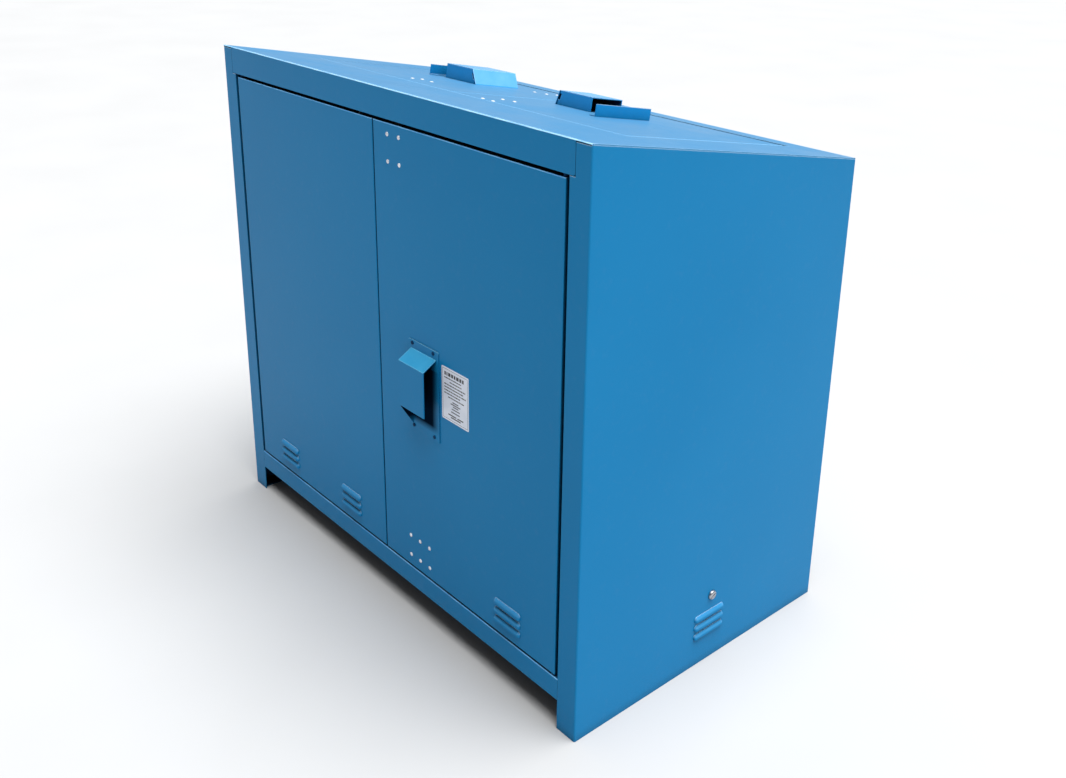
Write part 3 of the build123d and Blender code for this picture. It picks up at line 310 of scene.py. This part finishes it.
# Box of painted shadow inside the lock hood, behind its front plate and down to the shade it casts, as
# spans along X, Y and Z.
HOOD_SHADOW_BOX = ((0.1185, 0.119, 0.188, 0.212), (-0.3776, -0.3773, -0.343, -0.342),
            (0.474, 0.490, 0.611, 0.615))
HOOD_PAINT = paint("blue_powder_coat_on_hood_with_painted_shadow", rim=0.15, slant=(0.18, 0.80, 1.0, 1.0), shadow_box=HOOD_SHADOW_BOX)
# Darker copy of the blue paint for the roof and lids: painted shade that holds back their stronger
# light.
ROOF_BASE_PAINTED_DARKER = (0.012, 0.185, 0.40, 1.0), (0.010, 0.172, 0.38, 1.0)
ROOF_PAINT = paint("blue_powder_coat_on_roof", base=ROOF_BASE_PAINTED_DARKER, soften=8 * MM, rim=0.3, rough=0.42,
                   crest=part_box("roof_panel")[0].y + 4 * MM)
LID_PAINT = paint("blue_powder_coat_on_lids", base=ROOF_BASE_PAINTED_DARKER, rim=0.3, rough=0.42)
# Lighter copy of the blue paint for the vent hoods: painted light for the bounce off the roof, and
# their slants take a stronger painted highlight.
VENT_BASE_PAINTED_LIGHTER = (0.014, 0.30, 0.64, 1.0), (0.012, 0.28, 0.61, 1.0)
VENT_PAINT = paint("blue_powder_coat_on_vents", base=VENT_BASE_PAINTED_LIGHTER, slant_highlight_range=(0.34, 0.46))
# Painted highlights along the roof's front fold and the lower fold crests.
ROOF_FOLD_HIGHLIGHT = fold_highlight("painted_highlight_on_roof_fold", srgb(120, 185, 230), srgb(172, 222, 250))
LOW_FOLD_HIGHLIGHT = fold_highlight("painted_highlight_on_low_folds", srgb(80, 158, 222), srgb(124, 192, 240))
OWN_PAINT = {"lock_hood": HOOD_PAINT, "roof_panel": ROOF_PAINT, "roof_lid_left": LID_PAINT,
             "roof_lid_right": LID_PAINT, "vent_hood_left": VENT_PAINT, "vent_hood_right": VENT_PAINT,
             "vent_baffle_left": VENT_PAINT, "vent_baffle_right": VENT_PAINT}
FOLDED = ("roof_panel", "bottom_front_rail", "door_left", "door_right")
INK_GREY = ink("label_ink_grey", srgb(48, 55, 72), srgb(66, 74, 92))
INK_DARK = ink("label_ink_dark", srgb(22, 26, 34), srgb(36, 40, 50))
LOUVRES_BELOW = 1.0                     # Z under which a door's slanted faces belong to louvres


def on_crest(name, face, front):
    """Whether a face is on the long upper fold at the front of a node, not on a louvre."""
    with_slant_highlight = face.normal.y < -0.2 and face.normal.z > 0.2 and abs(face.normal.x) < 0.1
    high = face.center.z > LOUVRES_BELOW or name == "bottom_front_rail"
    return with_slant_highlight and high and face.center.y < front


def dress_nodes():
    """Give every CAD node its material, and each long fold's crest a painted highlight."""
    slots = {part["node"]: part["material_slot"] for part in frame["record"]["subparts"]}
    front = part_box("bottom_front_rail")[0].y + 3 * MM
    for name, node in frame["nodes"].items():
        node.data.materials.clear()
        node.data.materials.append(OWN_PAINT.get(name, LOOKS[slots[name]]))
        if name in FOLDED:
            node.data.materials.append(ROOF_FOLD_HIGHLIGHT if name == "roof_panel" else LOW_FOLD_HIGHLIGHT)
            node.data.materials.append(LOOKS["blue_paint"])
            for face in node.data.polygons:
                if on_crest(name, face, front):
                    face.material_index = 1
                elif face.normal.y < -0.9:
                    face.material_index = 2


# ---- detailed pieces -----------------------------------------------------------------
BODY_DEPTH = 725.0 * MM
ROOF_FALL = 130.0 * MM
SLOPE = math.atan2(ROOF_FALL, BODY_DEPTH)
ROOF_EDGE = (0, -346.0 * MM, 1150.0 * MM)
ROOF_TILT = Matrix.Rotation(-SLOPE, 4, "X")
ROOF_FRAME = Matrix.Translation(ROOF_EDGE) @ ROOF_TILT      # on the roof, with Z straight out of it


def finish_mesh(bm, name, look, body, stands_for, smooth=True):
    """Turn a bmesh into a piece that rides on a body in place of some CAD nodes."""
    bmesh.ops.recalc_face_normals(bm, faces=bm.faces)
    mesh = bpy.data.meshes.new(name)
    bm.to_mesh(mesh)
    bm.free()
    mesh.materials.append(LOOKS[look])
    if smooth:
        mesh.shade_smooth()
        mesh.set_sharp_from_angle(angle=math.radians(32))
    piece = bpy.data.objects.new(name, mesh)
    bpy.context.scene.collection.objects.link(piece)
    if stands_for:
        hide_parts(*stands_for)
    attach(piece, body)
    return piece


def lathe(bm, profile, place, steps=28):
    """Turned solid about its own Z axis, from (radius, height) points that start and end on it."""
    rings = []
    for radius, height in profile:
        if radius == 0:
            rings.append([bm.verts.new(place @ Vector((0, 0, height)))])
            continue
        angles = [2 * math.pi * i / steps for i in range(steps)]
        ring = [Vector((radius * math.cos(a), radius * math.sin(a), height)) for a in angles]
        rings.append([bm.verts.new(place @ point) for point in ring])
    for below, above in zip(rings, rings[1:]):
        for i in range(steps):
            j = (i + 1) % steps
            if len(below) == 1:
                bm.faces.new((below[0], above[i], above[j]))
            elif len(above) == 1:
                bm.faces.new((below[i], below[j], above[0]))
            else:
                bm.faces.new((below[i], below[j], above[j], above[i]))


def rounded_box(bm, low, high, radius, segments=3):
    """Box between two corners with every edge rounded."""
    size = Vector(high) - Vector(low)
    middle = (Vector(high) + Vector(low)) / 2
    place = Matrix.Translation(middle) @ Matrix.Diagonal((*size, 1))
    made = bmesh.ops.create_cube(bm, size=1.0, matrix=place)
    if radius > 0:
        edges = list({edge for vert in made["verts"] for edge in vert.link_edges})
        bmesh.ops.bevel(bm, geom=edges, offset=radius, segments=segments, affect="EDGES", profile=0.5)


def islands(name):
    """Bounds of the separate solids of a CAD node, welding its triangles' corners first."""
    bm = bmesh.new()
    bm.from_mesh(frame["nodes"][name].data)
    bmesh.ops.remove_doubles(bm, verts=bm.verts, dist=0.00002)
    left = set(bm.verts)
    boxes = []
    while left:
        reached, queue = set(), [left.pop()]
        while queue:
            vert = queue.pop()
            reached.add(vert)
            for edge in vert.link_edges:
                other = edge.other_vert(vert)
                if other in left:
                    left.discard(other)
                    queue.append(other)
        places = [vert.co for vert in reached]
        low = Vector(min(place[i] for place in places) for i in range(3))
        high = Vector(max(place[i] for place in places) for i in range(3))
        boxes.append((low, high))
    bm.free()
    return boxes


# Radius and height in mm, from the shank's end to the broken mandrel in the head.
RIVET_PROFILE = [(0, -4.6), (1.7, -4.6), (2.0, -4.2), (2.0, -0.1), (4.1, -0.02), (4.35, 0.14),
                 (4.2, 0.5), (3.4, 1.05), (2.3, 1.45), (1.55, 1.62), (1.3, 1.55), (1.15, 1.1),
                 (0.75, 1.0), (0.55, 1.22), (0, 1.26)]
RIVET_SEAT = 1.7 * MM                   # from the crown of the CAD rivet down to the sheet


def make_rivets():
    """Blind rivets: domed head with the broken mandrel sunk in its middle."""
    profile = [(radius * MM, height * MM) for radius, height in RIVET_PROFILE]
    front = Matrix.Rotation(math.pi / 2, 4, "X")
    bm = bmesh.new()
    for low, high in islands("door_rivets"):
        place = Vector(((low.x + high.x) / 2, low.y + RIVET_SEAT, (low.z + high.z) / 2))
        lathe(bm, profile, Matrix.Translation(place) @ front)
    finish_mesh(bm, "rivet_heads_door", "bright_rivet", "door_right", ["door_rivets"])
    for side in ("left", "right"):
        bm = bmesh.new()
        for low, high in islands(f"lid_rivets_{side}"):
            middle = (low + high) / 2
            crown = ROOF_FRAME.inverted() @ middle
            place = ROOF_FRAME @ Vector((crown.x, crown.y, 0))
            lathe(bm, profile, Matrix.Translation(place) @ ROOF_TILT)
        finish_mesh(bm, f"rivet_heads_lid_{side}", "bright_rivet", f"lid_{side}",
                    [f"lid_rivets_{side}"])


DOOR_SEAL = 14 * MM
LID_SEAL = 12 * MM


def seal_loop(bm, corners, out, width, depth):
    """Closed seal round a rectangle: flat foot, hollow-looking bulb with a groove along its crown."""
    section = [(-0.5, 0.0), (-0.5, 0.35), (-0.42, 0.72), (-0.24, 0.95), (-0.06, 0.98), (0.0, 0.84),
               (0.06, 0.98), (0.24, 0.95), (0.42, 0.72), (0.5, 0.35), (0.5, 0.0)]
    middle = sum(corners, Vector()) / 4
    rings = []
    for corner in corners:
        across = corner - middle
        first = (corners[1] - corners[0]).normalized()
        second = (corners[2] - corners[1]).normalized()
        inward = -first * math.copysign(1, across.dot(first))
        inward -= second * math.copysign(1, across.dot(second))
        points = [corner + inward * width * (x + 0.5) + out * depth * h for x, h in section]
        rings.append([bm.verts.new(point) for point in points])
    for i in range(4):
        ring, after = rings[i], rings[(i + 1) % 4]
        for j in range(len(section)):
            k = (j + 1) % len(section)
            bm.faces.new((ring[j], after[j], after[k], ring[k]))


def make_seals():
    """Bulb seals on the doors' returns and round the lids' undersides."""
    for side in ("left", "right"):
        low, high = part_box(f"door_seal_{side}")
        corners = [Vector((low.x, low.y, low.z)), Vector((high.x, low.y, low.z)),
                   Vector((high.x, low.y, high.z)), Vector((low.x, low.y, high.z))]
        bm = bmesh.new()
        seal_loop(bm, corners, Vector((0, 1, 0)), DOOR_SEAL, high.y - low.y)
        finish_mesh(bm, f"bulb_seal_door_{side}", "seal_rubber", f"door_{side}", [f"door_seal_{side}"])
        to_roof = ROOF_FRAME.inverted()
        places = [to_roof @ vert.co for vert in frame["nodes"][f"lid_seal_{side}"].data.vertices]
        low = Vector(min(place[i] for place in places) for i in range(3))
        high = Vector(max(place[i] for place in places) for i in range(3))
        flat = ((low.x, low.y), (high.x, low.y), (high.x, high.y), (low.x, high.y))
        corners = [ROOF_FRAME @ Vector((x, y, high.z)) for x, y in flat]
        bm = bmesh.new()
        down = -(ROOF_TILT @ Vector((0, 0, 1)))
        seal_loop(bm, corners, down, LID_SEAL, high.z - low.z)
        finish_mesh(bm, f"bulb_seal_lid_{side}", "seal_rubber", f"lid_{side}", [f"lid_seal_{side}"])


def make_label():
    """Rounded foil label with a frame line and generic printed bars, but no lettering."""
    low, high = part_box("rating_label")
    width, height = high.x - low.x, high.z - low.z
    bm = bmesh.new()
    rounded_box(bm, low + Vector((0, 0.12 * MM, 0)), high, 0)
    upright = [edge for edge in bm.edges if abs(edge.verts[0].co.y - edge.verts[1].co.y) > 0.2 * MM]
    bmesh.ops.bevel(bm, geom=upright, offset=2.5 * MM, segments=5, affect="EDGES", profile=0.5)
    finish_mesh(bm, "label_foil", "label", "door_right", ["rating_label"], smooth=False)
    grey, dark = bmesh.new(), bmesh.new()

    def bar(target, left, top, long, tall):
        """Printed bar, placed by shares of the label's width and height from its top left."""
        x = low.x + left * width
        z = high.z - top * height
        start = (x, low.y + 0.04 * MM, z - tall * height)
        rounded_box(target, start, (x + long * width, low.y + 0.13 * MM, z), 0)

    for side in (0.035, 0.957):
        bar(grey, side, 0.03, 0.008, 0.94)
    for top in (0.03, 0.964):
        bar(grey, 0.035, top, 0.93, 0.006)
    left = 0.11
    for long in (0.05, 0.035, 0.085, 0.07, 0.06, 0.09, 0.07, 0.06):
        bar(dark, left, 0.085, long, 0.066)
        left += long + 0.028
    rows = [(0.185, 0.10, 0.66), (0.245, 0.30, 0.44), (0.305, 0.10, 0.80), (0.362, 0.10, 0.70),
            (0.419, 0.10, 0.80), (0.476, 0.10, 0.62), (0.533, 0.24, 0.60)]
    for row, (top, start, long) in enumerate(rows):
        left = start
        word = 0
        while left < start + long - 0.02:
            piece = 0.03 + 0.022 * ((row * 5 + word * 3) % 4)
            piece = min(piece, start + long - left)
            bar(dark if (row + word) % 3 else grey, left, top, piece, 0.021)
            left += piece + 0.012
            word += 1
    for top, start, long in ((0.60, 0.40, 0.22), (0.64, 0.33, 0.36), (0.68, 0.42, 0.20),
                             (0.73, 0.37, 0.30), (0.79, 0.35, 0.32)):
        bar(grey, start, top, long, 0.020)
    for top, start, long in ((0.86, 0.24, 0.30), (0.86, 0.58, 0.22), (0.90, 0.34, 0.36)):
        bar(dark, start, top, long, 0.022)
    for name, bm, look in (("label_print_grey", grey, INK_GREY), ("label_print_dark", dark, INK_DARK)):
        piece = finish_mesh(bm, name, "label", "door_right", [], smooth=False)
        piece.data.materials[0] = look


BATTERY_RISE = 8 * MM                   # raised middle of the lid, above the lid's shoulder
BATTERY_LID = 28 * MM
RIB_COUNT = 17
RIB_DEPTH = 3 * MM
PLUG_COUNT = 6
# Radius and height in mm of a vent plug with a coin slot's recess.
PLUG_PROFILE = [(0, -2), (13, -2), (13, 4), (11.5, 5), (6, 5), (5, 4.2), (0, 4.2)]


def battery_case(bm, low, high, shoulder):
    """Case with ribs at the front and rear, under a lid with a raised middle."""
    inset = Vector((2, 2, 0)) * MM
    case_top = shoulder - BATTERY_LID + 2 * MM
    rounded_box(bm, low + inset, Vector((high.x, high.y, case_top)) - inset, 5 * MM)
    lid_low = Vector((low.x, low.y, shoulder - BATTERY_LID))
    rounded_box(bm, lid_low, Vector((high.x, high.y, shoulder)), 4 * MM)
    rim = Vector((3, 3, 0)) * MM
    rounded_box(bm, Vector((low.x, low.y, shoulder - 2 * MM)) + rim, high - rim, 3 * MM)
    for i in range(RIB_COUNT):
        x = low.x + (high.x - low.x) * (i + 0.5) / RIB_COUNT
        for y in (low.y, high.y - RIB_DEPTH):
            foot = (x - 5 * MM, y, low.z + 12 * MM)
            rounded_box(bm, foot, (x + 5 * MM, y + RIB_DEPTH, shoulder - 34 * MM), 1.2 * MM, 2)


def battery_fittings(bm, low, high):
    """Row of vent plugs and a handle at each end of a battery's lid."""
    for i in range(PLUG_COUNT):
        x = low.x + (high.x - low.x) * (i + 0.5) / PLUG_COUNT
        place = Matrix.Translation((x, (low.y + high.y) / 2 + 36 * MM, high.z - 5.2 * MM))
        lathe(bm, [(radius * MM, height * MM) for radius, height in PLUG_PROFILE], place, 24)
    for x in (low.x + 30 * MM, high.x - 42 * MM):
        start = (x, low.y + 70 * MM, high.z - 7 * MM)
        rounded_box(bm, start, (x + 12 * MM, high.y - 70 * MM, high.z - 1 * MM), 2.4 * MM)


def make_batteries():
    """Batteries with ribbed cases, vent plugs and handles, and blank label plates at the front."""
    label = bmesh.new()
    for tier in ("lower", "upper"):
        for side in ("left", "right"):
            name = f"batteries_{tier}_{side}"
            bm = bmesh.new()
            handles = bmesh.new()
            for low, high in sorted(islands(name), key=lambda box: box[0].y):
                shoulder = high.z - BATTERY_RISE
                battery_case(bm, low, high, shoulder)
                battery_fittings(handles, low, high)
                start = (low.x + 150 * MM, low.y + 0.6 * MM, low.z + 50 * MM)
                end = (high.x - 150 * MM, low.y + 3.0 * MM, shoulder - 50 * MM)
                rounded_box(label, start, end, 0.5 * MM, 2)
            finish_mesh(bm, f"battery_cases_{tier}_{side}", "battery_case", "root", [name])
            finish_mesh(handles, f"battery_plugs_{tier}_{side}", "battery_case", "root", [])
    finish_mesh(label, "battery_labels", "label", "root", [])


# ---- stage ---------------------------------------------------------------------------
FLOOR_REACH = 30.0
BRIGHT_SIDE = (-0.15, 0.65, 0.75)       # direction of the brightest surroundings
WORLD_LEVELS = (0.06, 0.66)             # strength at the darkest and at the brightest
KEY_FROM = (0.23, 0.06, 0.96)
KEY_STRENGTH = 5.7
KEY_SPREAD = math.radians(50)


def make_floor():
    """Pale floor that runs far past the view."""
    mesh = bpy.data.meshes.new("floor")
    shares = ((-1, -1), (1, -1), (1, 1), (-1, 1))
    corners = [(x * FLOOR_REACH, y * FLOOR_REACH, 0) for x, y in shares]
    mesh.from_pydata(corners, [], [(0, 1, 2, 3)])
    floor = bpy.data.objects.new("floor", mesh)
    bpy.context.scene.collection.objects.link(floor)
    s = Shader("pale_floor")
    colour = s.mix(s.ramp(s.noise(1.5, 3), 0.3, 0.7), (0.48, 0.484, 0.488, 1), (0.46, 0.464, 0.468, 1))
    mesh.materials.append(s.finish(Base_Color=colour, Roughness=0.7))


def make_world():
    """Soft studio surroundings: bright above and behind the cabinet, dim in front of it."""
    world = bpy.data.worlds.new("studio")
    bpy.context.scene.world = world
    world.use_nodes = True
    tree = world.node_tree
    background = tree.nodes["Background"]
    place = tree.nodes.new("ShaderNodeTexCoord")
    facing = tree.nodes.new("ShaderNodeVectorMath")
    facing.operation = "DOT_PRODUCT"
    facing.inputs[1].default_value = BRIGHT_SIDE
    share = tree.nodes.new("ShaderNodeMapRange")
    squared = tree.nodes.new("ShaderNodeMath")
    squared.operation = "POWER"
    squared.inputs[1].default_value = 2.0
    strength = tree.nodes.new("ShaderNodeMapRange")
    tree.links.new(place.outputs["Generated"], facing.inputs[0])
    tree.links.new(facing.outputs["Value"], share.inputs["Value"])
    share.inputs["From Min"].default_value = -0.6
    share.inputs["From Max"].default_value = 1.0
    tree.links.new(share.outputs[0], squared.inputs[0])
    tree.links.new(squared.outputs[0], strength.inputs["Value"])
    strength.inputs["To Min"].default_value = WORLD_LEVELS[0]
    strength.inputs["To Max"].default_value = WORLD_LEVELS[1]
    tree.links.new(strength.outputs[0], background.inputs["Strength"])
    background.inputs["Color"].default_value = (0.97, 0.985, 1.0, 1)


def make_key():
    """Large soft light from above and to the right."""
    data = bpy.data.lights.new("key", "SUN")
    data.energy = KEY_STRENGTH
    data.angle = KEY_SPREAD
    key = bpy.data.objects.new("key", data)
    key.rotation_euler = Vector(KEY_FROM).to_track_quat("Z", "Y").to_euler()
    bpy.context.scene.collection.objects.link(key)


make_camera()
dress_nodes()
make_rivets()
make_seals()
make_label()
make_batteries()
make_floor()
make_world()
make_key()
bpy.context.scene.view_settings.view_transform = "Standard"
